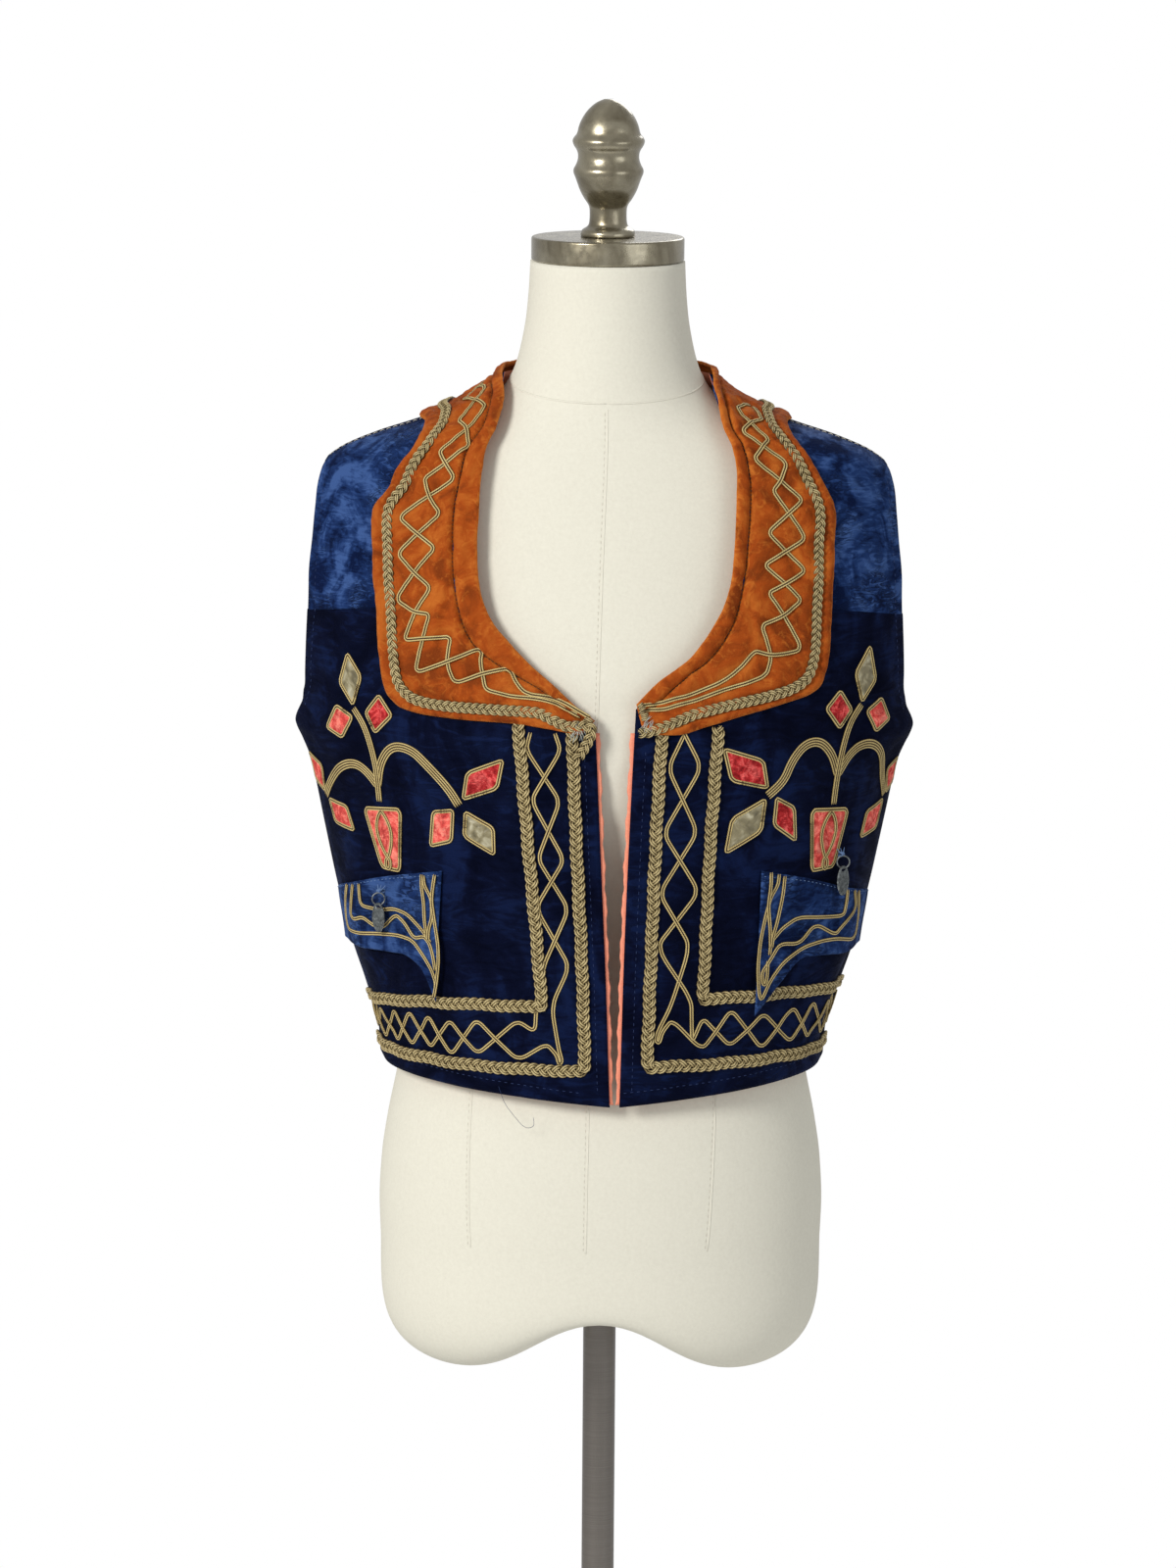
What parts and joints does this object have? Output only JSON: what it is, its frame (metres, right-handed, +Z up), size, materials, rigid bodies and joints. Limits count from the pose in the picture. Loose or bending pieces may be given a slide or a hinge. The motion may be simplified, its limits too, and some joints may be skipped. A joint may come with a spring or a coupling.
{
  "type": "embroidered folk vest on a dress form",
  "caption": "Open velvet folk vest with a wide embroidered collar, braided fronts and pocket flaps, worn by a limbless dress form on a round-based stand.",
  "frame": {"origin": "centre of the base disc's underside, on the pole's axis", "axes": "+Z up along the pole; the form and the vest face -Y; the wearer's left is +X"},
  "size_m": [0.4492, 0.38, 1.6342],
  "materials": {
    "velvet_navy": "very dark blue-black cotton velvet with a blue sheen along its folds",
    "velvet_blue": "crushed mid-blue velvet with dark crush marks",
    "velvet_orange": "burnt-orange velvet, quilted and rubbed golden along its edges",
    "velvet_coral": "coral-pink crushed velvet",
    "velvet_red": "deep red crushed velvet",
    "satin_olive": "olive-brown satin with a silvery sheen",
    "lining_coral": "coral-pink cotton lining edge",
    "braid_gold": "plaited khaki-gold cotton braid",
    "linen_cream": "off-white linen over a moulded body",
    "bronze_antique": "antique bronze under glossy lacquer",
    "steel_dark": "dark brushed steel",
    "metal_charm": "dark tarnished stamped metal"
  },
  "bodies": {
    "form_and_vest": {"back": "velvet_navy", "base_disc": "steel_dark", "braid_inner_left": "braid_gold", "braid_inner_right": "braid_gold", "braid_outer_left": "braid_gold", "braid_outer_right": "braid_gold", "bud_in_left": "velvet_red", "bud_in_right": "velvet_red", "bud_out_left": "velvet_coral", "bud_out_right": "velvet_coral", "collar_braid_left": "braid_gold", "collar_braid_right": "braid_gold", "collar_left": "velvet_orange", "collar_right": "velvet_orange", "finial": "bronze_antique", "flap_left": "velvet_blue", "flap_right": "velvet_blue", "form_body": "linen_cream", "front_left": "velvet_navy", "front_right": "velvet_navy", "leaf_in_left": "satin_olive", "leaf_in_right": "satin_olive", "leaf_top_left": "satin_olive", "leaf_top_right": "satin_olive", "lining_edge_left": "lining_coral", "lining_edge_right": "lining_coral", "neck_band_left": "velvet_orange", "neck_band_right": "velvet_orange", "neck_cap": "bronze_antique", "petal_in_left": "velvet_red", "petal_in_right": "velvet_red", "petal_low_left": "velvet_red", "petal_low_right": "velvet_coral", "petal_out_left": "velvet_coral", "petal_out_right": "velvet_coral", "petal_side_left": "velvet_coral", "petal_side_right": "velvet_coral", "pole": "steel_dark", "pot_left": "velvet_coral", "pot_right": "velvet_coral", "yoke_left": "velvet_blue", "yoke_right": "velvet_blue"},
    "ring_right": {"charm_ring_right": "metal_charm"},
    "plate_right": {"charm_plate_right": "metal_charm"},
    "ring_left": {"charm_ring_left": "metal_charm"},
    "plate_left": {"charm_plate_left": "metal_charm"}
  },
  "joints": [
    {"name": "ring_swing_right", "type": "hinge", "parent": "form_and_vest", "child": "ring_right", "pos_m": [-0.16106, -0.08049, 1.07067], "axis": [-0.6538, -0.7566, 0], "range_deg": [-40, 40]},
    {"name": "plate_lift_right", "type": "hinge", "parent": "ring_right", "child": "plate_right", "pos_m": [-0.16106, -0.08049, 1.06167], "axis": [-0.9942, -0.1075, 0], "range_deg": [0, 50]},
    {"name": "ring_swing_left", "type": "hinge", "parent": "form_and_vest", "child": "ring_left", "pos_m": [0.17266, -0.07039, 1.09837], "axis": [0.6998, -0.7143, 0], "range_deg": [-40, 40]},
    {"name": "plate_lift_left", "type": "hinge", "parent": "ring_left", "child": "plate_left", "pos_m": [0.17266, -0.07039, 1.08937], "axis": [-0.999, 0.0451, 0], "range_deg": [0, 50]}
  ]
}
